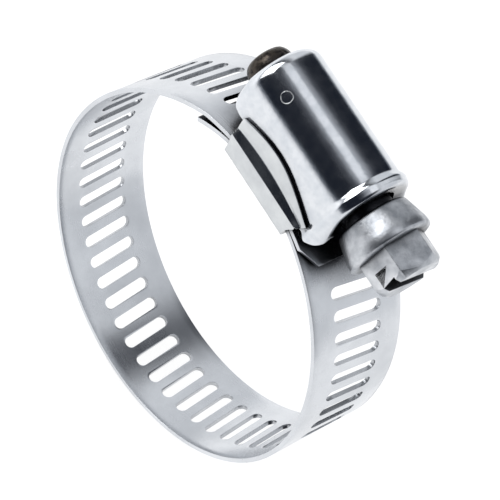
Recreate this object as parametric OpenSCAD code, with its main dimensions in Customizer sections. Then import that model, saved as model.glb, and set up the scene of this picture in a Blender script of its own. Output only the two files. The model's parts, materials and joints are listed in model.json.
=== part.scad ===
// Worm-drive hose clamp with a slotted band.
// X runs along the screw towards its hex head, Y along the hose, Z from the hose towards the housing.
// The origin is the centre of the round seat that holds the hose.

/* [Band] */
// Radius of the round seat, the inside of the band
seat_r = 24.2; // [22:0.1:26]
// Width of the band along the hose
band_w = 14.3; // [13.5:0.1:15]
// Thickness of the band
band_t = 0.6; // [0.5:0.05:0.65]
// Corner cut from each side of the band's free tip, along the band
tip_cut = 2.7; // [1:0.1:3.5]
// Distance of the free tip beyond the middle of the housing
tip_x = 11.5; // [10.5:0.1:12]

/* [Slots] */
// Slots in the lower half of the band, which sets the pitch of the slots and of the worm
lower_slots = 26; // [25:1:28]
// Slots in the anchored part of the band
anchored_slots = 8; // [4:1:8]
// Length of a slot
slot_l = 7.6; // [6:0.1:9]
// Width of a slot
slot_w = 1.6; // [1.5:0.05:1.7]
// Tilt of a slot from the hose's direction
slot_tilt = 7; // [6:0.5:8]

/* [Saddle] */
// Thickness of the saddle's strip
saddle_t = 0.65; // [0.5:0.05:0.7]
// End of the saddle on the side of the screw's nose
saddle_x0 = -5.7; // [-5.9:0.1:-5]
// End of the saddle on the side of the screw's head
saddle_x1 = 6.4; // [5.5:0.1:6.4]
// Height of the folded lips above the seat's centre
lip_top = 30.8; // [29.5:0.1:31]

/* [Housing] */
// Outer radius of the housing's barrel
barrel_r = 5.75; // [5.5:0.05:6]
// Thickness of the housing's sheet
sheet_t = 0.75; // [0.6:0.05:0.8]
// End of the barrel at the screw's nose
barrel_x0 = -10.6; // [-11:0.1:-10.4]
// End of the barrel at the screw's collar
barrel_x1 = 9.9; // [9.8:0.1:10]

/* [Screw] */
// Outer radius of the worm
worm_r = 4.0; // [3.9:0.05:4.1]
// Radius of the worm's core
core_r = 3.1; // [2.9:0.05:3.2]
// Width of the thread at its crest
crest_w = 0.7; // [0.5:0.05:0.8]
// Hex size across flats
hex_af = 7.94; // [7:0.01:8]
// Height of the hex head
hex_h = 4.2; // [3.5:0.1:5]
// Width of the screwdriver slot
driver_w = 2.0; // [1.2:0.1:2.2]
// Depth of the screwdriver slot
driver_d = 2.4; // [1.5:0.1:3]

/* [Hidden] */

$fn = 96;
band_gap = 0.1;        // between the two layers of the band inside the housing
flex_gap = 0.03;       // round the nose of each flex line
channel_z = 0.7;       // centre height of the curved layers inside the housing
lead_x = 10.5;         // the free band follows the channel's curve from here
mid_r = seat_r + band_t / 2;

// Saddle floor and the two layers of band above it
floor_bottom = seat_r + 0.05;
floor_top = floor_bottom + saddle_t;
layer_z = floor_top + 0.02;
layer_x = saddle_x1 + 0.05;
inner_r = norm([layer_x, layer_z - channel_z]);
outer_r = inner_r + band_t + band_gap;

// Flex lines, level with the centre of the channel
flex_x = sqrt(mid_r * mid_r - channel_z * channel_z);
flex_a = asin(channel_z / mid_r);
lower_len = mid_r * (180 + 2 * flex_a) * PI / 180;
pitch = lower_len / lower_slots;

// Arc tangent to the seat at a flex line and passing through a point: [centre, inner radius]
function seat_dir(side) = [side * cos(flex_a), sin(flex_a)];
function side_shift(point, dir) =
    (point * point - seat_r * seat_r) / (2 * (seat_r - point * dir));
function side_centre(point, dir) = -side_shift(point, dir) * dir;
function angle_of(v) = atan2(v[1], v[0]);

// Anchored side: flex line up to the saddle
join_a = [layer_x, layer_z];
centre_a = side_centre(join_a, seat_dir(1));
radius_a = seat_r + side_shift(join_a, seat_dir(1));
// Free side: flex line up to the start of the channel's curve
join_f = [-lead_x, channel_z + sqrt(outer_r * outer_r - lead_x * lead_x)];
centre_f = side_centre(join_f, seat_dir(-1));
radius_f = seat_r + side_shift(join_f, seat_dir(-1));
channel = [0, channel_z];
join_f_a = angle_of(join_f - channel);
free_side_a = 180 - flex_a - angle_of(join_f - centre_f);
free_side_len = (radius_f + band_t / 2) * free_side_a * PI / 180;
tip_a = acos(tip_x / outer_r);

// Tail of the anchored end, bent inwards beyond the saddle
tail_x = saddle_x0 - 0.05;
tail_slope = 20;
tail_r = 21;
tail_len = 6;
tail_start = [tail_x, channel_z + sqrt(inner_r * inner_r - tail_x * tail_x)];
tail_centre = tail_start - tail_r * [-sin(tail_slope), cos(tail_slope)];

// Screw
axis_z = channel_z + outer_r + band_t - 0.5 + worm_r;
worm_x0 = -8.9;
worm_x1 = 8.5;
neck_r = 3.3;
collar_x0 = 10.75;
collar_x1 = 15.15;
collar_r0 = 4.55;
collar_r1 = 5.45;
hex_turn = 15;
// The slot nearest the top of the channel, on the head's side
channel_mid_r = outer_r + band_t / 2;
top_len = free_side_len + channel_mid_r * (join_f_a - 90) * PI / 180;
mesh_x = (ceil(top_len / pitch - 0.5) + 0.5) * pitch - top_len;

// Housing: each flank is a straight sheet that meets the barrel tangentially
flank_z = 27.1;
flank_y = 7.2;
flank_x0 = -9.4;
flank_x1 = 9.9;
flank_foot = [flank_y, flank_z - axis_z];
flank_a = angle_of(flank_foot) + acos(barrel_r / norm(flank_foot));
cavity_r = barrel_r - sheet_t;
ear_gap = 0.15;
ear_in = band_w / 2 + ear_gap;
ear_out = ear_in + saddle_t;

// ---- shared shapes ----

// Turns a profile drawn as [radius, x] about the screw's axis
module turned_on_axis() {
    translate([0, 0, axis_z]) rotate([0, 90, 0]) rotate_extrude() children();
}

// Extrudes a [y, z] outline along X
module along_x(x0, x1) {
    translate([x0, 0, 0]) rotate([90, 0, 90]) linear_extrude(x1 - x0) children();
}

module band_arc(centre, inner, a0, a1) {
    translate([centre[0], 0, centre[1]]) rotate([90, 0, 0])
        rotate_extrude(start = a0, angle = a1 - a0, $fn = 180)
            translate([inner, -band_w / 2]) square([band_t, band_w]);
}

// A round-ended slot through the band, at an angle on an arc
module slot_at(centre, inner, angle) {
    end = (slot_l - slot_w) / 2;
    translate([centre[0], 0, centre[1]]) rotate([0, -angle, 0])
        translate([inner - 1, 0, 0]) rotate([-slot_tilt, 0, 0]) {
            translate([0, -end, -slot_w / 2]) cube([band_t + 2, 2 * end, slot_w]);
            for (y = [-end, end])
                translate([0, y, 0]) rotate([0, 90, 0]) cylinder(d = slot_w, h = band_t + 2, $fn = 24);
        }
}

function turn_of(length, inner) = length / (inner + band_t / 2) * 180 / PI;

// Cylinder on a flex line, across the whole band
module flex_pin(side, r, w = band_w) {
    translate([side * flex_x, 0, channel_z]) rotate([90, 0, 0])
        cylinder(r = r, h = w, center = true, $fn = 32);
}

// Core of the small bend where two arcs of band meet at a point on their inner side
module bend(point, centre) {
    out = (point - centre) / norm(point - centre);
    middle = point + 0.415 * band_t * out;
    translate([middle[0], 0, middle[1]]) rotate([90, 0, 0])
        cylinder(r = 0.45 * band_t, h = band_w, center = true, $fn = 32);
}

// ---- band ----

module band_anchored() {
    color("lightsteelblue") difference() {
        union() {
            band_arc(centre_a, radius_a, flex_a, angle_of(join_a - centre_a));
            band_arc(channel, inner_r, angle_of(join_a - channel), angle_of(tail_start - channel));
            band_arc(tail_centre, tail_r, 90 + tail_slope, 90 + tail_slope + turn_of(tail_len, tail_r));
            bend(join_a, channel);
            bend(tail_start, channel);
            flex_pin(1, band_t / 2 - 0.02);
        }
        for (i = [0 : anchored_slots - 1])
            slot_at(centre_a, radius_a, flex_a + turn_of((i + 0.5) * pitch, radius_a));
    }
}

module band_lower() {
    color("lightsteelblue") difference() {
        union() {
            band_arc([0, 0], seat_r, -180 - flex_a, flex_a);
            flex_pin(-1, band_t / 2 - 0.02);
        }
        flex_pin(1, band_t / 2 + flex_gap, band_w + 1);
        for (i = [0 : lower_slots - 1])
            slot_at([0, 0], seat_r, flex_a - turn_of((i + 0.5) * pitch, seat_r));
    }
}

module band_free() {
    side_slots = floor(free_side_len / pitch);
    channel_slots = floor((top_len + tip_x) / pitch) - side_slots;
    color("lightsteelblue") difference() {
        union() {
            band_arc(centre_f, radius_f, angle_of(join_f - centre_f), 180 - flex_a);
            band_arc(channel, outer_r, tip_a, join_f_a);
            bend(join_f, channel);
        }
        flex_pin(-1, band_t / 2 + flex_gap, band_w + 1);
        for (i = [0 : side_slots - 1])
            slot_at(centre_f, radius_f, 180 - flex_a - turn_of((i + 0.5) * pitch, radius_f));
        for (i = [side_slots : side_slots + channel_slots - 1])
            slot_at(channel, outer_r, join_f_a - turn_of((i + 0.5) * pitch - free_side_len, outer_r));
        for (side = [-1, 1])
            translate([tip_x, side * band_w / 2, channel_z + 20]) linear_extrude(10)
                polygon([[-tip_cut, 0], [2, -side * (tip_cut + 2) * 2 / 3], [2, side], [-tip_cut, side]]);
    }
}

// ---- saddle: floor, two side walls, and lips folded over the housing's flanks ----

// Direction up the flank, and the direction out of it, as [y, z]
flank_up = [-sin(flank_a), cos(flank_a)];
flank_out = [cos(flank_a), sin(flank_a)];

module ear_outline() {
    fold = [ear_in, flank_z];
    rise = (lip_top - flank_z) / flank_up[1];
    polygon([
        [ear_in, floor_bottom], [ear_out, floor_bottom], [ear_out, flank_z + 0.3],
        fold + saddle_t * flank_out + rise * flank_up, fold + rise * flank_up, fold
    ]);
}

module saddle() {
    lip_x = -0.8;
    lip_r = 13.2;
    color("gainsboro") {
        along_x(saddle_x0, saddle_x1) translate([-ear_in - 0.01, floor_bottom])
            square([2 * ear_in + 0.02, saddle_t]);
        intersection() {
            union() {
                along_x(saddle_x0, saddle_x1) ear_outline();
                along_x(saddle_x0, saddle_x1) mirror([1, 0]) ear_outline();
            }
            translate([lip_x, 0, lip_top - lip_r]) rotate([90, 0, 0])
                cylinder(r = lip_r, h = 3 * band_w, center = true);
        }
    }
}

// ---- housing: a barrel over the worm on two flanks ----

// Points of an arc in a profile
function arc_points(centre, r, a0, a1, steps) =
    [for (i = [0 : steps]) let (a = a0 + (a1 - a0) * i / steps) centre + r * [cos(a), sin(a)]];

// Outside of the barrel: a round shoulder at the nose end and a bead at the collar end
shoulder_r = 1.6;
module barrel_profile() {
    bead_r = 0.95;
    bead_in = 0.55;
    polygon(concat([[0, barrel_x0]],
        arc_points([barrel_r - shoulder_r, barrel_x0 + shoulder_r], shoulder_r, -90, 0, 8),
        arc_points([barrel_r - bead_in, barrel_x1 - bead_r], bead_r, -acos(bead_in / bead_r), 90, 10),
        [[0, barrel_x1]]));
}

module cavity_profile() {
    inner_r = shoulder_r - sheet_t;
    x0 = barrel_x0 + sheet_t;
    x1 = barrel_x1 - sheet_t;
    polygon(concat([[0, x0]],
        arc_points([cavity_r - inner_r, x0 + inner_r], inner_r, -90, 0, 6),
        [[cavity_r, x1 - 0.6], [cavity_r - 0.4, x1], [0, x1]]));
}

// Drawn 1 mm deeper than the flanks, which the bottom cut trims level
module flank_outline(inset) {
    r = barrel_r - inset - 0.03;
    foot_y = flank_y - inset / flank_out[0] + tan(flank_a);
    foot_z = flank_z - axis_z - 1;
    polygon([
        [foot_y, foot_z], r * flank_out, [-r * flank_out[0], r * flank_out[1]], [-foot_y, foot_z]
    ]);
}

module housing() {
    nose_hole = 3.3;
    neck_hole = 3.7;
    color("silver") difference() {
        union() {
            turned_on_axis() barrel_profile();
            along_x(flank_x0, flank_x1) translate([0, axis_z]) flank_outline(0);
        }
        turned_on_axis() cavity_profile();
        along_x(flank_x0 + sheet_t, flank_x1 - sheet_t) translate([0, axis_z]) flank_outline(sheet_t);
        // the band's and the screw's ways through the ends
        along_x(barrel_x0 - 1, barrel_x1 + 1)
            translate([-20, flank_z - 20]) square([40, 20]);
        translate([barrel_x0 - 1, 0, axis_z]) rotate([0, 90, 0]) cylinder(r = nose_hole, h = 3);
        translate([barrel_x1 - 3, 0, axis_z]) rotate([0, 90, 0]) cylinder(r = neck_hole, h = 4);
    }
}

// ---- screw: nose, worm, neck, collar and slotted hex head ----

// The worm is meshed in columns round its axis, from the bottom. Each column has a row at either end
// and four rows for each turn of the thread: foot, crest, crest, foot.
worm_cols = 36;
fade_cols = 9;         // columns in which the thread rises and runs out
foot = crest_w / 2 + (worm_r - core_r) * tan(15);
worm_start = mesh_x + pitch * ceil((worm_x0 + 0.05 + foot - mesh_x) / pitch);
worm_turns = floor((worm_x1 - 0.05 - foot - worm_start) / pitch);
worm_rows = 4 * worm_turns + 2;

function worm_point(col, row) =
    let (station = floor((row - 1) / 4) * worm_cols + col,
         side = [-foot, -crest_w / 2, crest_w / 2, foot][(row + 3) % 4],
         inside = row > 0 && row < worm_rows - 1,
         rise = max(0, min(1, station / fade_cols, (worm_turns * worm_cols - 1 - station) / fade_cols)),
         r = inside && abs(side) < foot ? core_r + (worm_r - core_r) * rise : core_r,
         x = inside ? worm_start + pitch * station / worm_cols + side : row == 0 ? worm_x0 : worm_x1,
         a = col * 360 / worm_cols - 90)
    [x, r * cos(a), r * sin(a)];

// Index of a point, and the two triangles between four points
function at(col, row) = col * worm_rows + row;
function two(a, b, c, d) = [[a, b, c], [a, c, d]];

module worm() {
    last = worm_cols - 1;
    top = worm_rows - 1;
    points = [for (col = [0 : last], row = [0 : top]) worm_point(col, row)];
    around = [for (col = [0 : last - 1], row = [0 : top - 1])
        each two(at(col, row), at(col, row + 1), at(col + 1, row + 1), at(col + 1, row))];
    // the last column meets the first one a turn further on
    seam = [for (row = [1 : top - 6])
        each two(at(last, row), at(last, row + 1), at(0, row + 5), at(0, row + 4))];
    start = concat([[at(last, 0), at(last, 1), at(0, 5)]],
        [for (row = [0 : 4]) [at(last, 0), at(0, row + 1), at(0, row)]]);
    finish = concat([[at(0, top), at(0, top - 1), at(last, top - 5)]],
        [for (row = [top - 5 : top - 1]) [at(0, top), at(last, row), at(last, row + 1)]]);
    caps = [[for (col = [0 : last]) at(col, 0)], [for (col = [last : -1 : 0]) at(col, top)]];
    translate([0, 0, axis_z]) polyhedron(points, concat(around, seam, start, finish, caps));
}

module nose_profile() {
    nose_r = 3.0;
    round_r = 1.9;
    nose_x = -12.7;
    translate([0, nose_x]) square([nose_r - round_r, round_r + 0.1]);
    intersection() {
        translate([nose_r - round_r, nose_x + round_r]) circle(round_r, $fn = 48);
        translate([0, nose_x]) square([nose_r, 2 * round_r]);
    }
    translate([0, nose_x + round_r]) square([nose_r, worm_x0 - nose_x - round_r + 0.1]);
}

module collar_profile() {
    edge = 0.6;
    polygon([[0, collar_x0], [collar_r0, collar_x0], [collar_r1, collar_x1 - 2 * edge],
        [collar_r1, collar_x1 - edge], [collar_r1 - edge, collar_x1], [0, collar_x1]]);
    translate([collar_r1 - edge, collar_x1 - edge]) circle(edge, $fn = 48);
}

module hex_head() {
    base = collar_x1 - 0.1;
    end = collar_x1 + hex_h;
    corner = hex_af / sqrt(3);
    chamfer = 1;
    intersection() {
        translate([base, 0, axis_z]) rotate([0, 90, 0]) rotate([0, 0, hex_turn + 90])
            cylinder(r = corner, h = end - base, $fn = 6);
        turned_on_axis() polygon([[0, base], [corner + 1, base], [corner + 1, end - 2 * chamfer],
            [corner + 1 - 2 * chamfer, end], [0, end]]);
    }
}

module screw() {
    head_end = collar_x1 + hex_h;
    color("darkgray") difference() {
        union() {
            turned_on_axis() nose_profile();
            turned_on_axis() translate([0, worm_x1 - 0.1]) square([neck_r, collar_x0 - worm_x1 + 0.2]);
            turned_on_axis() collar_profile();
            worm();
            hex_head();
        }
        translate([head_end, 0, axis_z]) rotate([hex_turn - 30, 0, 0])
            cube([2 * driver_d, 2 * hex_af, driver_w], center = true);
    }
}

housing();
saddle();
screw();
band_anchored();
band_lower();
band_free();
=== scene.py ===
import json
import math
import bmesh
import bpy
from mathutils import Matrix, Vector


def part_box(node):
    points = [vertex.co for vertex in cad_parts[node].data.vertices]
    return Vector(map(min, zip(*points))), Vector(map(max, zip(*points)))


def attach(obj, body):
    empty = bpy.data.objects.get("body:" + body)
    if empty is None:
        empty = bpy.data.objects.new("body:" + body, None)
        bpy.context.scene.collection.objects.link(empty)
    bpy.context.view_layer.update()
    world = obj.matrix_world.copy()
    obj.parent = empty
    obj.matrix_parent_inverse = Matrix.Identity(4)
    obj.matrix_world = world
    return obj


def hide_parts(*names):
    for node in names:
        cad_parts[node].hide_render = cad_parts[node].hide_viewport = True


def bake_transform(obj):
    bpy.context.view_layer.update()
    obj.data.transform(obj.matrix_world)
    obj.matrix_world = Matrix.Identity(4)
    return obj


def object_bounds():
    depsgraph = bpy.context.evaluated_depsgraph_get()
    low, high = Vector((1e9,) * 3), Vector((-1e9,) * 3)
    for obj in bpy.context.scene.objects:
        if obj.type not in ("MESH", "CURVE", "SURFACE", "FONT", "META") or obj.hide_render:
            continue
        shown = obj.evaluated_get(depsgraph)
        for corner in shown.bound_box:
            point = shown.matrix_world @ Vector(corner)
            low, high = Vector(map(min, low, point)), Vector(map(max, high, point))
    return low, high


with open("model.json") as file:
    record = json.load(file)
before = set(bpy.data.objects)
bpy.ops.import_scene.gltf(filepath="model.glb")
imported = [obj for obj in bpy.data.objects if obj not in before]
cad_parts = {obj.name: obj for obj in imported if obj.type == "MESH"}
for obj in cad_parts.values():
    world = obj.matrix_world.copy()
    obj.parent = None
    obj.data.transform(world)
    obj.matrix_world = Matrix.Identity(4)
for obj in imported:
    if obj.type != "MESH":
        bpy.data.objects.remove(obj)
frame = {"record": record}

MM = 0.001
cad_lo, cad_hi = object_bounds()
record = frame["record"]


# ---- sizes in millimetres, taken from the frame ----

def mm_box(node):
    lo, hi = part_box(node)
    return lo / MM, hi / MM


seat_r = next(m for m in record["mounts"] if m["name"] == "hose_seat")["dims"]["r_mm"]
joint_at = {j["name"]: Vector(j["pos_m"]) / MM for j in record["behaviour"]["joints"]}
axis_z = joint_at["screw_turn"].z
channel_z = joint_at["band_flex_anchored"].z
lower_lo, lower_hi = mm_box("band_lower")
band_w = lower_hi.y - lower_lo.y
band_t = -lower_lo.z - seat_r
mid_r = seat_r + band_t / 2
house_lo, house_hi = mm_box("housing")
saddle_lo, saddle_hi = mm_box("saddle")
screw_lo, screw_hi = mm_box("screw")
half_w = band_w / 2

# ---- the band's path, the same arcs as the CAD's ----
LOWER_SLOTS = 26
ANCHORED_SLOTS = 8
FREE_SLOTS = 16
SLOT_L = 7.6
SLOT_W = 1.6
SLOT_TILT = math.radians(7)
LEAD_X = 10.5
LAYER_X = 6.45
TAIL_X = 5.75
TAIL_SLOPE = math.radians(20)
TAIL_R = 21.0
TAIL_LEN = 6.0
TIP_CUT = 2.7
TIP_X = 11.5
TIP_SLOPE = 2 / 3
HOSE_GAP = 0.05
FLOOR_T = 0.65
LAYER_GAP = 0.02
FREE_GAP = 0.1

flex_a = math.asin(channel_z / mid_r)
lower_len = mid_r * (math.pi + 2 * flex_a)
pitch = lower_len / LOWER_SLOTS
layer_z = seat_r + HOSE_GAP + FLOOR_T + LAYER_GAP
inner_r = math.hypot(LAYER_X, layer_z - channel_z)
outer_r = inner_r + band_t + FREE_GAP


def angle_of(v):
    return math.atan2(v[1], v[0])


def side_arc(point, side):
    """Centre and inner radius of the arc from a flex line to a point, tangent to the seat."""
    way = Vector((side * math.cos(flex_a), math.sin(flex_a)))
    shift = (point.dot(point) - seat_r ** 2) / (2 * (seat_r - point.dot(way)))
    return -shift * way, seat_r + shift


join_a = Vector((LAYER_X, layer_z))
join_f = Vector((-LEAD_X, channel_z + math.sqrt(outer_r ** 2 - LEAD_X ** 2)))
tail_start = Vector((-TAIL_X, channel_z + math.sqrt(inner_r ** 2 - TAIL_X ** 2)))
channel = Vector((0.0, channel_z))
centre_a, radius_a = side_arc(join_a, 1)
centre_f, radius_f = side_arc(join_f, -1)
tail_centre = tail_start - TAIL_R * Vector((-math.sin(TAIL_SLOPE), math.cos(TAIL_SLOPE)))


def arc(centre, inner, a0, a1):
    length = abs(a1 - a0) * (inner + band_t / 2)
    return (centre, inner, a0, a1, length)


tip_a = math.acos(TIP_X / outer_r)
FORWARD = [
    arc(Vector((0, 0)), seat_r, flex_a, -math.pi - flex_a),
    arc(centre_f, radius_f, math.pi - flex_a, angle_of(join_f - centre_f)),
    arc(channel, outer_r, angle_of(join_f - channel), tip_a),
]
BACKWARD = [
    arc(centre_a, radius_a, flex_a, angle_of(join_a - centre_a)),
    arc(channel, inner_r, angle_of(join_a - channel), angle_of(tail_start - channel)),
    arc(tail_centre, TAIL_R, math.pi / 2 + TAIL_SLOPE,
        math.pi / 2 + TAIL_SLOPE + TAIL_LEN / (TAIL_R + band_t / 2)),
]
g_tip = sum(a[4] for a in FORWARD)
g_tail = -sum(a[4] for a in BACKWARD)


def on_path(g):
    """Inner point and outward direction of the band, g along it from the anchored flex line."""
    arcs = FORWARD if g >= 0 else BACKWARD
    left = abs(g)
    for centre, inner, a0, a1, length in arcs:
        if left <= length + 1e-6 or (centre, inner, a0, a1, length) == arcs[-1]:
            a = a0 + (a1 - a0) * left / length
            way = Vector((math.cos(a), math.sin(a)))
            return centre + inner * way, way
        left -= length


# ---- mesh helpers ----

def finish_mesh(name, bm, body, replaces=(), mat=None):
    bm.normal_update()
    mesh = bpy.data.meshes.new(name)
    bm.to_mesh(mesh)
    bm.free()
    mesh.transform(Matrix.Scale(MM, 4))
    for p in mesh.polygons:
        p.use_smooth = True
    obj = bpy.data.objects.new(name, mesh)
    bpy.context.scene.collection.objects.link(obj)
    if mat:
        mesh.materials.append(mat)
    if body:
        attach(obj, body)
    if replaces:
        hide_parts(*replaces)
    return obj


def apply_modifiers(obj):
    dg = bpy.context.evaluated_depsgraph_get()
    new = bpy.data.meshes.new_from_object(obj.evaluated_get(dg))
    obj.modifiers.clear()
    old = obj.data
    obj.data = new
    bpy.data.meshes.remove(old)


def bevel(obj, width, segments=2, angle=35):
    m = obj.modifiers.new("bevel", "BEVEL")
    m.width = width * MM
    m.segments = segments
    m.limit_method = "ANGLE"
    m.angle_limit = math.radians(angle)
    m.harden_normals = False
    w = obj.modifiers.new("normals", "WEIGHTED_NORMAL")
    w.weight = 80
    w.keep_sharp = False


def grid_faces(bm, rows, loop_rows=False, loop_cols=False):
    faces = []
    nr = len(rows)
    nc = len(rows[0])
    for i in range(nr if loop_rows else nr - 1):
        for j in range(nc if loop_cols else nc - 1):
            a = rows[i][j]
            b = rows[i][(j + 1) % nc]
            c = rows[(i + 1) % nr][(j + 1) % nc]
            d = rows[(i + 1) % nr][j]
            corners = []
            for v in (a, b, c, d):
                if v not in corners:
                    corners.append(v)
            if len(corners) > 2:
                faces.append(bm.faces.new(corners))
    return faces


# ---- materials ----

def link(tree, a, b):
    tree.links.new(a, b)


# painted shade: the near-black colour mixed into the metals near other surfaces, and how far that reaches
PAINTED_SHADE = (0.03, 0.032, 0.038)
PAINTED_SHADE_REACH = 6.0


def metal(name, base, dark, rough, rough_var, bump, grain, speckle, coords="Object", edge=0.15,
          metallic=1.0, stain=None):
    """A metal with grain along one direction, cloudy wear, brighter worn edges, painted shade where pieces
    lie close, and fine bump.
    """
    mat = bpy.data.materials.new(name)
    mat.use_nodes = True
    tree = mat.node_tree
    n = tree.nodes
    shader = n["Principled BSDF"]
    shader.inputs["Metallic"].default_value = metallic
    if coords == "Object":
        where = n.new("ShaderNodeTexCoord").outputs["Object"]
    else:
        picked = n.new("ShaderNodeAttribute")
        picked.attribute_name = coords
        where = picked.outputs["Vector"]
    stretch = n.new("ShaderNodeMapping")
    stretch.inputs["Scale"].default_value = grain
    link(tree, where, stretch.inputs["Vector"])
    lines = n.new("ShaderNodeTexNoise")
    lines.inputs["Scale"].default_value = 1.0
    lines.inputs["Detail"].default_value = 6.0
    lines.inputs["Roughness"].default_value = 0.6
    link(tree, stretch.outputs["Vector"], lines.inputs["Vector"])
    clouds = n.new("ShaderNodeTexNoise")
    clouds.inputs["Scale"].default_value = speckle
    clouds.inputs["Detail"].default_value = 5.0
    clouds.inputs["Roughness"].default_value = 0.62
    link(tree, n.new("ShaderNodeTexCoord").outputs["Object"], clouds.inputs["Vector"])
    wear = n.new("ShaderNodeMapRange")
    wear.inputs["From Min"].default_value = 0.35
    wear.inputs["From Max"].default_value = 0.68
    link(tree, clouds.outputs["Fac"], wear.inputs["Value"])
    mix = n.new("ShaderNodeMix")
    mix.data_type = "RGBA"
    mix.inputs["A"].default_value = (*base, 1)
    mix.inputs["B"].default_value = (*dark, 1)
    link(tree, wear.outputs["Result"], mix.inputs["Factor"])
    tone = mix.outputs["Result"]
    if stain:
        spots = n.new("ShaderNodeTexNoise")
        spots.inputs["Scale"].default_value = speckle * 2.7
        spots.inputs["Detail"].default_value = 3.0
        link(tree, n.new("ShaderNodeTexCoord").outputs["Object"], spots.inputs["Vector"])
        pick = n.new("ShaderNodeMapRange")
        pick.inputs["From Min"].default_value = 0.52
        pick.inputs["From Max"].default_value = 0.62
        link(tree, spots.outputs["Fac"], pick.inputs["Value"])
        stained = n.new("ShaderNodeMix")
        stained.data_type = "RGBA"
        stained.inputs["B"].default_value = (*stain, 1)
        link(tree, pick.outputs["Result"], stained.inputs["Factor"])
        link(tree, tone, stained.inputs["A"])
        tone = stained.outputs["Result"]
    edges = n.new("ShaderNodeMapRange")
    edges.inputs["From Min"].default_value = 0.52
    edges.inputs["From Max"].default_value = 0.62
    edges.inputs["To Max"].default_value = edge
    link(tree, n.new("ShaderNodeNewGeometry").outputs["Pointiness"], edges.inputs["Value"])
    bright = n.new("ShaderNodeMix")
    bright.data_type = "RGBA"
    bright.inputs["B"].default_value = (0.93, 0.94, 0.96, 1)
    link(tree, edges.outputs["Result"], bright.inputs["Factor"])
    link(tree, tone, bright.inputs["A"])
    # painted shade: the colour darkens to near-black where pieces lie close together, standing in for
    # shade in gaps and recesses
    near = n.new("ShaderNodeAmbientOcclusion")
    near.samples = 8
    near.inputs["Distance"].default_value = PAINTED_SHADE_REACH * MM
    open_air = n.new("ShaderNodeMapRange")
    open_air.inputs["From Min"].default_value = 0.45
    open_air.inputs["From Max"].default_value = 0.92
    link(tree, near.outputs["AO"], open_air.inputs["Value"])
    shade_painted = n.new("ShaderNodeMix")
    shade_painted.data_type = "RGBA"
    shade_painted.inputs["A"].default_value = (*PAINTED_SHADE, 1)
    link(tree, open_air.outputs["Result"], shade_painted.inputs["Factor"])
    link(tree, bright.outputs["Result"], shade_painted.inputs["B"])
    link(tree, shade_painted.outputs["Result"], shader.inputs["Base Color"])
    both = n.new("ShaderNodeMath")
    both.operation = "MULTIPLY_ADD"
    both.inputs[1].default_value = 0.6
    link(tree, lines.outputs["Fac"], both.inputs[0])
    link(tree, wear.outputs["Result"], both.inputs[2])
    polish = n.new("ShaderNodeMapRange")
    polish.inputs["From Max"].default_value = 1.4
    polish.inputs["To Min"].default_value = rough - rough_var
    polish.inputs["To Max"].default_value = rough + rough_var
    link(tree, both.outputs["Value"], polish.inputs["Value"])
    link(tree, polish.outputs["Result"], shader.inputs["Roughness"])
    height = n.new("ShaderNodeBump")
    height.inputs["Strength"].default_value = 1.0
    height.inputs["Distance"].default_value = bump * MM
    link(tree, both.outputs["Value"], height.inputs["Height"])
    link(tree, height.outputs["Normal"], shader.inputs["Normal"])
    return mat


steel_band = metal("band_steel", (0.72, 0.74, 0.77), (0.60, 0.62, 0.65), 0.26, 0.08, 0.006,
                   (0.15, 9.0, 2.0), 90.0, coords="strip", edge=0.05)
steel_housing = metal("housing_steel", (0.74, 0.76, 0.79), (0.63, 0.66, 0.70), 0.15, 0.05, 0.005,
                      (900.0, 2600.0, 2600.0), 700.0, edge=0.2)
steel_saddle = metal("saddle_steel", (0.68, 0.70, 0.71), (0.54, 0.56, 0.58), 0.18, 0.06, 0.01,
                     (150.0, 1500.0, 1500.0), 220.0, edge=0.2)
zinc = metal("screw_zinc", (0.62, 0.64, 0.67), (0.33, 0.35, 0.38), 0.35, 0.10, 0.035,
             (900.0, 900.0, 900.0), 420.0, edge=0.5)
nose_steel = metal("nose_steel", (0.085, 0.072, 0.06), (0.03, 0.025, 0.02), 0.30, 0.10, 0.10,
                   (700.0, 700.0, 700.0), 480.0, edge=0.4, stain=(0.016, 0.013, 0.012))


# ---- band: two strips that butt together on the lower half ----

SIDE_POINTS = 7
END_STEPS = 8
FLAT_V = 5.0
MARGINS = (FLAT_V, 6.1, half_w)
TILE_LOOPS = (0, 0.45, 0.8, 1)
JOIN = 0.004
SEAM_SLOTS = 4


def slot_outline():
    """Points round the slot and the matching points round its tile, in order."""
    end = (SLOT_L - SLOT_W) / 2
    r = SLOT_W / 2
    holes = []
    frames = []
    for side in (1, -1):
        for i in range(SIDE_POINTS):
            k = -1 + 2 * i / (SIDE_POINTS - 1)
            holes.append((side * r, side * k * end))
            frames.append((side * pitch / 2, side * k * FLAT_V))
        for i in range(1, END_STEPS):
            a = math.pi * i / END_STEPS
            holes.append((side * r * math.cos(a), side * (end + r * math.sin(a))))
            frames.append((side * pitch * (0.5 - i / END_STEPS), side * FLAT_V))
    c = math.cos(SLOT_TILT)
    s = math.sin(SLOT_TILT)
    holes = [(a * c + b * s, -a * s + b * c) for a, b in holes]
    return holes, frames


def half_width(g):
    """The band narrows at its free tip, where the corners are cut."""
    left = g_tip - g
    return half_w if left > TIP_CUT else half_w - (TIP_CUT - left) * TIP_SLOPE


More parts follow.
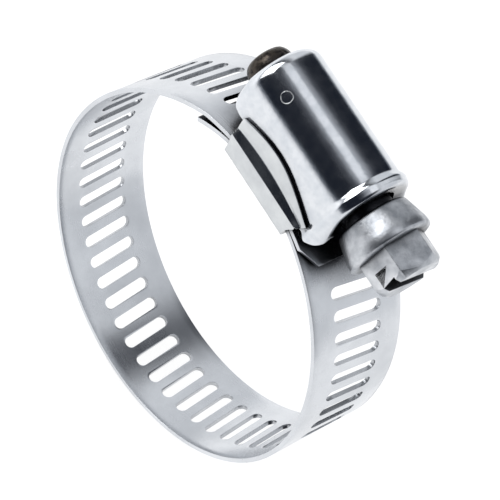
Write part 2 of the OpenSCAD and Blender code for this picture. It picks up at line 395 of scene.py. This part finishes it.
def strip(name, g0, g1, slots, ends):
    bm = bmesh.new()
    layer = bm.verts.layers.float_vector.new("strip")

    def put(g, y):
        inner, way = on_path(g)
        p = inner + way * band_t / 2
        v = bm.verts.new((p.x, y, p.y))
        v[layer] = (g, y, 0)
        return v

    first = math.ceil(g0 / pitch - 1e-6)
    last = math.floor(g1 / pitch + 1e-6)
    stations = sorted(set([g0] + [k * pitch for k in range(first, last + 1)] + [g1]))
    stations = [g for i, g in enumerate(stations) if i == 0 or g - stations[i - 1] > 1e-3]
    across = [-m for m in reversed(MARGINS)][:-1]
    across += [-FLAT_V + 2 * FLAT_V * i / (SIDE_POINTS - 1) for i in range(SIDE_POINTS)]
    across += list(MARGINS[1:])
    for a, b in zip(stations, stations[1:]):
        middle = (a + b) / 2
        index = math.floor(middle / pitch)
        if index in slots and abs((b - a) - pitch) < 1e-3:
            holes, frames = slot_outline()
            loops = []
            for t in TILE_LOOPS:
                loops.append([put(middle + f[0] + (h[0] - f[0]) * t, f[1] + (h[1] - f[1]) * t)
                              for h, f in zip(holes, frames)])
            grid_faces(bm, loops, loop_cols=True)
            for side in (1, -1):
                rows = [[put(middle + side * pitch * (0.5 - i / END_STEPS), side * m)
                         for i in range(END_STEPS + 1)] for m in MARGINS]
                grid_faces(bm, rows)
        else:
            steps = max(1, round((b - a) / (pitch / END_STEPS)))
            rows = []
            for i in range(steps + 1):
                g = a + (b - a) * i / steps
                rows.append([put(g, y * half_width(g) / half_w) for y in across])
            grid_faces(bm, rows)
    bmesh.ops.remove_doubles(bm, verts=bm.verts, dist=JOIN)
    bmesh.ops.recalc_face_normals(bm, faces=bm.faces)
    probe = min(bm.faces, key=lambda f: abs(f.calc_center_median().y))
    g = sum(v[layer][0] for v in probe.verts) / len(probe.verts)
    way = on_path(g)[1]
    if probe.normal.dot(Vector((way.x, 0, way.y))) < 0:
        bmesh.ops.reverse_faces(bm, faces=bm.faces)
    obj = finish_mesh(name, bm, None, mat=steel_band)
    thick = obj.modifiers.new("thick", "SOLIDIFY")
    thick.thickness = band_t * MM
    thick.offset = 0
    thick.use_even_offset = True
    apply_modifiers(obj)
    # open the butt ends, so that the two strips meet with no rim between them
    bm = bmesh.new()
    bm.from_mesh(obj.data)
    layer = bm.verts.layers.float_vector["strip"]
    rims = [f for f in bm.faces for e in ends
            if all(abs(v[layer][0] - e) < 1e-3 for v in f.verts)]
    bmesh.ops.delete(bm, geom=list(set(rims)), context="FACES_ONLY")
    bm.to_mesh(obj.data)
    bm.free()
    bevel(obj, 0.09, 2, 50)
    apply_modifiers(obj)
    return obj


seam = SEAM_SLOTS * pitch
anchored_slots = set(range(-ANCHORED_SLOTS, 0))
lower_slots = set(range(LOWER_SLOTS))
free_slots = set(range(LOWER_SLOTS, LOWER_SLOTS + FREE_SLOTS))
band_a = strip("band_strip_anchored", g_tail, seam, anchored_slots | lower_slots, [seam])
band_b = strip("band_strip_free", seam, g_tip, lower_slots | free_slots, [seam])
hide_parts("band_anchored")
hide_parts("band_lower", "band_free")
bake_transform(band_a)
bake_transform(band_b)


# ---- housing ----

BARREL_R = 5.75
SHEET_T = 0.7
FLANK_Y = 7.2
FLANK_Z = 27.1
# the sheet's inner edge hangs lower than its outer one, so the feet stay this far above the band
FOOT_CLEAR = 0.3
FLARE = 1.0
TUCK = 1.0
NOSE_LIFT = 1.7
NOSE_LIFT_X = -4.8
NOSE_LIFT_RUN = 1.2
NOSE_SHORT = 0.45
SHOULDER = 1.6
BEAD_H = 0.36
BEAD_FROM = 2.15
BEAD_RUN = 1.55
RIM_R = 0.6
foot = Vector((FLANK_Y, FLANK_Z - axis_z))
flank_a = angle_of(foot) + math.acos(BARREL_R / foot.length)
flank_out = Vector((math.cos(flank_a), math.sin(flank_a)))
flank_up = Vector((-flank_out.y, flank_out.x))


def housing_section(lift):
    """Outline from the near flank's foot over the barrel to the far one's, relative to the axis."""
    top = BARREL_R * flank_out
    low = foot.lerp(top, (FOOT_CLEAR + lift) / (top.y - foot.y))
    half = [low.lerp(top, i / 9) for i in range(9)]
    steps = 22
    for i in range(steps + 1):
        a = flank_a + (math.pi / 2 - flank_a) * i / steps
        half.append(Vector((BARREL_R * math.cos(a), BARREL_R * math.sin(a))))
    near = [Vector((-p.x, p.y)) for p in half]
    return near + list(reversed(half))[1:]


def housing_profile():
    """Pairs of x and barrel radius from the hole at the nose to the hole at the neck."""
    x0 = house_lo.x + NOSE_SHORT
    x1 = house_hi.x
    out = [(x0 + 0.12, 3.35), (x0 + 0.02, 3.6)]
    for i in range(9):
        a = -math.pi / 2 + math.pi / 2 * i / 8
        out.append((x0 + SHOULDER + SHOULDER * math.sin(a),
                    BARREL_R - SHOULDER + SHOULDER * math.cos(a)))
    for i in range(1, 17):
        out.append((x0 + SHOULDER + (x1 - BEAD_FROM - x0 - SHOULDER) * i / 16, BARREL_R))
    for i in range(1, 13):
        k = i / 12
        x = x1 - BEAD_FROM + BEAD_RUN * k
        out.append((x, BARREL_R + BEAD_H * math.sin(math.pi / 2 * min(1, k * 1.5)) ** 2
                    - 0.12 * max(0, k - 0.67) * 3))
    r_end = out[-1][1]
    for i in range(1, 8):
        a = math.pi / 2 * i / 7
        out.append((x1 - RIM_R + RIM_R * math.sin(a), r_end - 0.75 * (1 - math.cos(a))))
    out.append((x1 - 0.05, 4.8))
    out.append((x1 - 0.12, 4.3))
    out.append((x1 - 0.15, 3.8))
    return out


def foot_lift(x):
    """How far the flanks' feet rise towards the ends, which rounds their corners."""
    step = min(1, max(0, (NOSE_LIFT_X - x) / NOSE_LIFT_RUN))
    nose = max(0, (house_lo.x + 2.6 - x) / 2.6)
    head = max(0, (x - (house_hi.x - 1.6)) / 1.6)
    return NOSE_LIFT * step * step * (3 - 2 * step) + 1.6 * nose ** 1.5 + 1.1 * head ** 2


def build_housing():
    bm = bmesh.new()
    rows = []
    for x, r in housing_profile():
        k = r / BARREL_R
        flare = FLARE * max(0, 1 - (house_hi.x - x) / 2.5) ** 2 + TUCK * max(0, 1 - (x - house_lo.x) / 3.0)
        row = []
        for p in housing_section(foot_lift(x)):
            down = min(1, max(0, flank_out.y * BARREL_R - p.y) / 5.2)
            row.append(bm.verts.new((x + flare * down ** 1.3, p.x * k, axis_z + p.y * k)))
        rows.append(row)
    grid_faces(bm, rows)
    bmesh.ops.recalc_face_normals(bm, faces=bm.faces)
    top = max(bm.faces, key=lambda f: f.calc_center_median().z)
    if top.normal.z < 0:
        bmesh.ops.reverse_faces(bm, faces=bm.faces)
    obj = finish_mesh("housing_shell", bm, None, mat=steel_housing)
    thick = obj.modifiers.new("thick", "SOLIDIFY")
    thick.thickness = SHEET_T * MM
    thick.offset = -1
    thick.use_even_offset = False
    bevel(obj, 0.12, 2, 50)
    apply_modifiers(obj)
    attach(obj, "housing_side")
    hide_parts("housing")
    return obj


build_housing()


def ring_mark(x, angle, radius, wire):
    """A small stamped ring, proud of the barrel by part of its line."""
    bm = bmesh.new()
    rows = []
    steps = 40
    for i in range(steps):
        t = 2 * math.pi * i / steps
        px = x + radius * math.cos(t)
        turn = angle + radius * math.sin(t) / BARREL_R
        row = []
        for j in range(8):
            s = 2 * math.pi * j / 8
            r = BARREL_R + wire * math.sin(s)
            dx = wire * math.cos(s) * math.cos(t)
            da = wire * math.cos(s) * math.sin(t) / BARREL_R
            row.append(bm.verts.new((px + dx, -r * math.sin(turn + da), axis_z + r * math.cos(turn + da))))
        rows.append(row)
    grid_faces(bm, rows, loop_rows=True, loop_cols=True)
    bmesh.ops.recalc_face_normals(bm, faces=bm.faces)
    return finish_mesh("stamped_ring", bm, "housing_side", mat=steel_saddle)


ring_mark(-5.3, math.radians(41.7), 0.72, 0.07)


# ---- saddle ----

SADDLE_T = 0.65
EAR_IN = half_w + 0.15
EAR_OUT = EAR_IN + SADDLE_T
LIP_TOP = saddle_hi.z
LIP_X = -0.8
LIP_R = 13.2
LIP_SPREAD = 0.9
LIP_SPREAD_HEAD = 1.6
VALLEY = 0.45
LIP_PROUD = 0.38
RIDGE_IN = 0.1
RIDGE_Z = 0.4
RIDGE_SHARE = 0.5
VALLEY_SHARE = 0.75
VALLEY_OUT = 0.3


def saddle_section(top_z):
    """Outer skin from the middle of the floor up to the lip's crest, as y, z and share of the spread."""
    points = []
    corner = 0.9
    bottom = saddle_lo.z
    for i in range(5):
        points.append(((EAR_OUT - corner) * i / 5, bottom, 0))
    for i in range(7):
        a = -math.pi / 2 + math.pi / 2 * i / 6
        points.append((EAR_OUT - corner + corner * math.cos(a), bottom + corner + corner * math.sin(a), 0))
    fold_z = FLANK_Z + RIDGE_Z
    for i in range(1, 4):
        z = bottom + corner + (fold_z - 0.25 - bottom - corner) * i / 3
        points.append((EAR_OUT - RIDGE_IN * (i / 3) ** 3, z, RIDGE_SHARE * (i / 3) ** 2))
    # the fold, a sloping shoulder, then the lip that lies on the flank
    lip_t = LIP_PROUD
    base = Vector((EAR_IN, FLANK_Z)) + lip_t * flank_out
    rise = (top_z - lip_t * flank_out.y - FLANK_Z) / flank_up.y
    ridge = Vector((EAR_OUT - RIDGE_IN, fold_z))
    deep = VALLEY * rise
    valley = Vector((FLANK_Y, FLANK_Z)) + flank_up * deep + flank_out * VALLEY_OUT
    crest = base + flank_up * rise
    points.append((ridge.x, ridge.y, RIDGE_SHARE))
    points.append((ridge.x - 0.08, ridge.y + 0.12, RIDGE_SHARE))
    for i in range(1, 5):
        p = (ridge + Vector((-0.08, 0.12))).lerp(valley, i / 5)
        points.append((p.x, p.y, RIDGE_SHARE + (VALLEY_SHARE - RIDGE_SHARE) * i / 5))
    steps = 12
    for i in range(steps + 1):
        t = i / steps
        p = valley.lerp(crest, t) + flank_out * 0.1 * math.sin(math.pi * t)
        points.append((p.x, p.y, VALLEY_SHARE + (1 - VALLEY_SHARE) * t))
    return points


def build_saddle():
    bm = bmesh.new()
    rows = []
    steps = 28
    x0 = saddle_lo.x
    x1 = saddle_hi.x
    for i in range(steps + 1):
        x = x0 + (x1 - x0) * i / steps
        top = LIP_TOP - LIP_R + math.sqrt(LIP_R ** 2 - (x - LIP_X) ** 2)
        half = saddle_section(top)
        full = [(-y, z, lip) for y, z, lip in reversed(half)] + half[1:]
        away = 2 * i / steps - 1
        spread = (LIP_SPREAD_HEAD if away > 0 else LIP_SPREAD) * away ** 3
        rows.append([bm.verts.new((x + spread * lip, y, z)) for y, z, lip in full])
    grid_faces(bm, rows)
    bmesh.ops.recalc_face_normals(bm, faces=bm.faces)
    low = min(bm.faces, key=lambda f: f.calc_center_median().z)
    if low.normal.z > 0:
        bmesh.ops.reverse_faces(bm, faces=bm.faces)
    obj = finish_mesh("saddle_strap", bm, None, mat=steel_saddle)
    thick = obj.modifiers.new("thick", "SOLIDIFY")
    thick.thickness = SADDLE_T * MM
    thick.offset = -1
    thick.use_even_offset = True
    bevel(obj, 0.13, 2, 50)
    apply_modifiers(obj)
    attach(obj, "housing_side")
    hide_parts("saddle")


build_saddle()


# ---- screw ----

COLLAR_X0 = 10.75
COLLAR_X1 = 15.15
COLLAR_R0 = 4.55
COLLAR_R1 = 5.45
HEX_AF = 7.94
HEX_TURN = math.radians(15)
DRIVER_W = 2.0
DRIVER_D = 2.4
WORM_R = 4.0
CORE_R = 3.1
NECK_R = 3.3
ROUND = 96


def turned(name, profile, mat, around=ROUND, replaces=()):
    bm = bmesh.new()
    rows = []
    for x, r in profile:
        if r < 1e-6:
            tip = bm.verts.new((x, 0, axis_z))
            rows.append([tip] * around)
        else:
            rows.append([bm.verts.new((x, r * math.cos(2 * math.pi * i / around),
                                       axis_z + r * math.sin(2 * math.pi * i / around)))
                         for i in range(around)])
    grid_faces(bm, rows, loop_cols=True)
    bmesh.ops.recalc_face_normals(bm, faces=bm.faces)
    return finish_mesh(name, bm, "screw", replaces, mat)


def rounded(points, r, steps=5):
    """A profile with its inner corners rounded by arcs of about r."""
    pts = [Vector(p) for p in points]
    out = [pts[0]]
    for a, b, c in zip(pts, pts[1:], pts[2:]):
        k = min(r, (b - a).length * 0.45, (c - b).length * 0.45)
        s = b + (a - b).normalized() * k
        e = b + (c - b).normalized() * k
        for i in range(steps + 1):
            t = i / steps
            out.append(s * (1 - t) ** 2 + b * 2 * t * (1 - t) + e * t * t)
    out.append(pts[-1])
    return [tuple(p) for p in out]


nose_x = screw_lo.x
nose_profile = [(nose_x, 0)]
for i in range(1, 15):
    a = math.pi / 2 * i / 14
    nose_profile.append((nose_x + 1.9 * (1 - math.cos(a)), 1.1 * min(1, a * 1.4) + 1.9 * math.sin(a)))
nose_profile += [(nose_x + 2.6, 3.0), (-8.9, 3.0), (-8.9, 0)]
turned("screw_nose", nose_profile, nose_steel)

shank = rounded([(-8.95, 0), (-8.95, CORE_R), (8.4, CORE_R), (8.5, NECK_R), (COLLAR_X0, NECK_R)], 0.05, 2)
turned("screw_shank", shank, zinc)

collar = rounded([(COLLAR_X0, NECK_R - 0.3), (COLLAR_X0, COLLAR_R0), (COLLAR_X1 - 1.1, COLLAR_R1 - 0.02),
                  (COLLAR_X1 - 0.25, COLLAR_R1), (COLLAR_X1, COLLAR_R1 - 0.5), (COLLAR_X1, 3.75),
                  (COLLAR_X1 - 0.3, 3.6), (COLLAR_X1 - 0.3, 0)], 0.45, 6)
turned("screw_collar", collar, zinc, replaces=("screw",))


def build_worm():
    """Rolled thread: one helical strip of a trapezium tooth with rounded corners."""
    top_len = FORWARD[1][4] + (outer_r + band_t / 2) * (angle_of(join_f - channel) - math.pi / 2)
    mesh_x = (math.ceil(top_len / pitch - 0.5) + 0.5) * pitch - top_len
    start = mesh_x - 3 * pitch
    turns = 5
    cols = 48
    tooth = [(-0.62, CORE_R - 0.05), (-0.5, CORE_R + 0.12), (-0.38, WORM_R - 0.14), (-0.25, WORM_R),
             (0.25, WORM_R), (0.38, WORM_R - 0.14), (0.5, CORE_R + 0.12), (0.62, CORE_R - 0.05)]
    bm = bmesh.new()
    rows = []
    total = turns * cols
    for i in range(total + 1):
        a = 2 * math.pi * i / cols - math.pi / 2
        rise = max(0.0, min(1.0, i / 12, (total - i) / 12))
        base = CORE_R - 0.05
        row = []
        for dx, r in tooth:
            rr = base + (r - base) * rise
            x = start + pitch * i / cols + dx
            row.append(bm.verts.new((x, rr * math.cos(a), axis_z + rr * math.sin(a))))
        rows.append(row)
    grid_faces(bm, rows)
    bm.faces.new(list(reversed(rows[0])))
    bm.faces.new(rows[-1])
    grid_faces(bm, [[r[-1] for r in rows], [r[0] for r in rows]])
    bmesh.ops.recalc_face_normals(bm, faces=bm.faces)
    finish_mesh("screw_worm", bm, "screw", mat=zinc)


build_worm()


def build_head():
    head_end = screw_hi.x
    base = COLLAR_X1 - 0.35
    corner = HEX_AF / math.sqrt(3)
    bm = bmesh.new()
    loops = []
    for x in (base, head_end):
        loops.append([bm.verts.new((x, corner * math.cos(HEX_TURN + math.pi / 3 * i),
                                    axis_z + corner * math.sin(HEX_TURN + math.pi / 3 * i)))
                      for i in range(6)])
    grid_faces(bm, loops, loop_cols=True)
    bm.faces.new(loops[0])
    bm.faces.new(loops[1])
    bmesh.ops.recalc_face_normals(bm, faces=bm.faces)
    head = finish_mesh("screw_head", bm, None, mat=zinc)

    bm = bmesh.new()
    rows = []
    for x, r in ((base - 1, 0), (base - 1, corner + 1), (head_end - 2.0, corner + 1.0),
                 (head_end + 0.1, corner - 1.1), (head_end + 0.1, 0)):
        if r == 0:
            tip = bm.verts.new((x, 0, axis_z))
            rows.append([tip] * ROUND)
        else:
            rows.append([bm.verts.new((x, r * math.cos(2 * math.pi * i / ROUND),
                                       axis_z + r * math.sin(2 * math.pi * i / ROUND)))
                         for i in range(ROUND)])
    grid_faces(bm, rows, loop_cols=True)
    bmesh.ops.recalc_face_normals(bm, faces=bm.faces)
    cone = finish_mesh("tool_cone", bm, None)

    bm = bmesh.new()
    bmesh.ops.create_cube(bm, size=1)
    bmesh.ops.scale(bm, vec=(2 * DRIVER_D, 2 * HEX_AF, DRIVER_W), verts=bm.verts)
    bmesh.ops.rotate(bm, cent=(0, 0, 0), matrix=Matrix.Rotation(-math.radians(15), 3, "X"), verts=bm.verts)
    bmesh.ops.translate(bm, vec=(head_end, 0, axis_z), verts=bm.verts)
    blade = finish_mesh("tool_blade", bm, None)

    for tool, how in ((cone, "INTERSECT"), (blade, "DIFFERENCE")):
        m = head.modifiers.new(tool.name, "BOOLEAN")
        m.operation = how
        m.object = tool
        m.solver = "EXACT"
    bevel(head, 0.16, 3, 22)
    apply_modifiers(head)
    bpy.data.objects.remove(cone)
    bpy.data.objects.remove(blade)
    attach(head, "screw")


build_head()


# ---- floor, light, camera ----

def plane(name, centre, size, mat):
    bm = bmesh.new()
    s = size / 2
    corners = [bm.verts.new((centre[0] + a * s, centre[1] + b * s, centre[2]))
               for a, b in ((-1, -1), (1, -1), (1, 1), (-1, 1))]
    bm.faces.new(corners)
    mesh = bpy.data.meshes.new(name)
    bm.to_mesh(mesh)
    bm.free()
    obj = bpy.data.objects.new(name, mesh)
    bpy.context.scene.collection.objects.link(obj)
    mesh.materials.append(mat)
    return obj


# the lower half swings below its place at rest as the clamp opens, so the floor is a little lower
FLOOR_DROP = 4.0
pale = bpy.data.materials.new("floor_pale")
pale.use_nodes = True
pale.node_tree.nodes["Principled BSDF"].inputs["Base Color"].default_value = (0.35, 0.35, 0.35, 1)
pale.node_tree.nodes["Principled BSDF"].inputs["Roughness"].default_value = 0.9
pale.node_tree.nodes["Principled BSDF"].inputs["Emission Color"].default_value = (1, 1, 1, 1)
pale.node_tree.nodes["Principled BSDF"].inputs["Emission Strength"].default_value = 0.88
plane("floor", (0, 0, cad_lo.z - FLOOR_DROP * MM), 6.0, pale)


def area(name, place, target, size_x, size_y, power, colour=(1, 1, 1)):
    data = bpy.data.lights.new(name, "AREA")
    data.shape = "RECTANGLE"
    data.size = size_x
    data.size_y = size_y
    data.energy = power
    data.color = colour
    obj = bpy.data.objects.new(name, data)
    bpy.context.scene.collection.objects.link(obj)
    obj.location = place
    way = Vector(target) - Vector(place)
    obj.rotation_mode = "QUATERNION"
    obj.rotation_quaternion = way.to_track_quat("-Z", "Y")


world = bpy.data.worlds.new("studio")
bpy.context.scene.world = world
world.use_nodes = True
wt = world.node_tree
back = wt.nodes["Background"]
where = wt.nodes.new("ShaderNodeTexCoord")
split = wt.nodes.new("ShaderNodeSeparateXYZ")
ramp = wt.nodes.new("ShaderNodeValToRGB")
wt.links.new(where.outputs["Generated"], split.inputs["Vector"])
wt.links.new(split.outputs["Z"], ramp.inputs["Fac"])
across = wt.nodes.new("ShaderNodeMapRange")
across.inputs["From Min"].default_value = -1.0
wt.links.new(split.outputs["X"], across.inputs["Value"])
sides = wt.nodes.new("ShaderNodeValToRGB")
wt.links.new(across.outputs["Result"], sides.inputs["Fac"])
blend_sky = wt.nodes.new("ShaderNodeMix")
blend_sky.data_type = "RGBA"
blend_sky.inputs["A"].default_value = (0.95, 0.97, 1.0, 1)
wt.links.new(ramp.outputs["Color"], blend_sky.inputs["B"])
# the bright side walls stand only on the far side, so the rest of the studio stays dark
front = wt.nodes.new("ShaderNodeMapRange")
front.inputs["From Min"].default_value = 0.10
front.inputs["From Max"].default_value = 0.38
front.inputs["To Min"].default_value = 1.0
front.inputs["To Max"].default_value = 0.0
wt.links.new(split.outputs["Y"], front.inputs["Value"])
darker = wt.nodes.new("ShaderNodeMath")
darker.operation = "MAXIMUM"
wt.links.new(sides.outputs["Color"], darker.inputs[0])
wt.links.new(front.outputs["Result"], darker.inputs[1])
wt.links.new(darker.outputs["Value"], blend_sky.inputs["Factor"])
wt.links.new(blend_sky.outputs["Result"], back.inputs["Color"])
# the sky from the horizon up: a bright edge, a dark studio and a soft strip overhead
SKY = [(0.0, (0.9, 0.92, 0.95)), (0.08, (0.20, 0.22, 0.26)), (0.18, (0.012, 0.016, 0.026)),
       (0.76, (0.016, 0.02, 0.03)), (0.88, (0.08, 0.085, 0.10)), (0.96, (0.52, 0.54, 0.58))]
# how much of the dark sky shows, across the world's x
SIDES = [(0.0, (0, 0, 0)), (0.24, (0, 0, 0)), (0.33, (1, 1, 1)), (0.47, (1, 1, 1)), (0.56, (0, 0, 0))]
for picked, stops in ((ramp, SKY), (sides, SIDES)):
    while len(picked.color_ramp.elements) < len(stops):
        picked.color_ramp.elements.new(0.5)
    for element, (at, colour) in zip(picked.color_ramp.elements, stops):
        element.position = at
        element.color = (*colour, 1)
back.inputs["Strength"].default_value = 0.85
bpy.context.scene.view_settings.view_transform = "Standard"

area("overhead", (-0.10, -0.02, 0.60), (0, 0, 0), 0.20, 0.9, 0.3)
area("key_left", (-0.55, -0.25, 0.35), (0, 0, 0), 0.5, 0.5, 3)

CAMERA_AT = Vector((57.694, -155.841, 227.161)) * MM
CAMERA_RIGHT = Vector((0.534469, 0.747735, 0.393986))
CAMERA_UP = Vector((-0.820724, 0.347834, 0.453219))
LENS = 159.2
SENSOR = 36.0
CAMERA_BACK = CAMERA_RIGHT.cross(CAMERA_UP)
data = bpy.data.cameras.new("camera")
data.sensor_width = SENSOR
data.lens = LENS
data.clip_start = 0.01
camera = bpy.data.objects.new("camera", data)
bpy.context.scene.collection.objects.link(camera)
turn = Matrix((CAMERA_RIGHT, CAMERA_UP, CAMERA_BACK)).transposed()
camera.matrix_world = Matrix.Translation(CAMERA_AT) @ turn.to_4x4()
bpy.context.scene.camera = camera
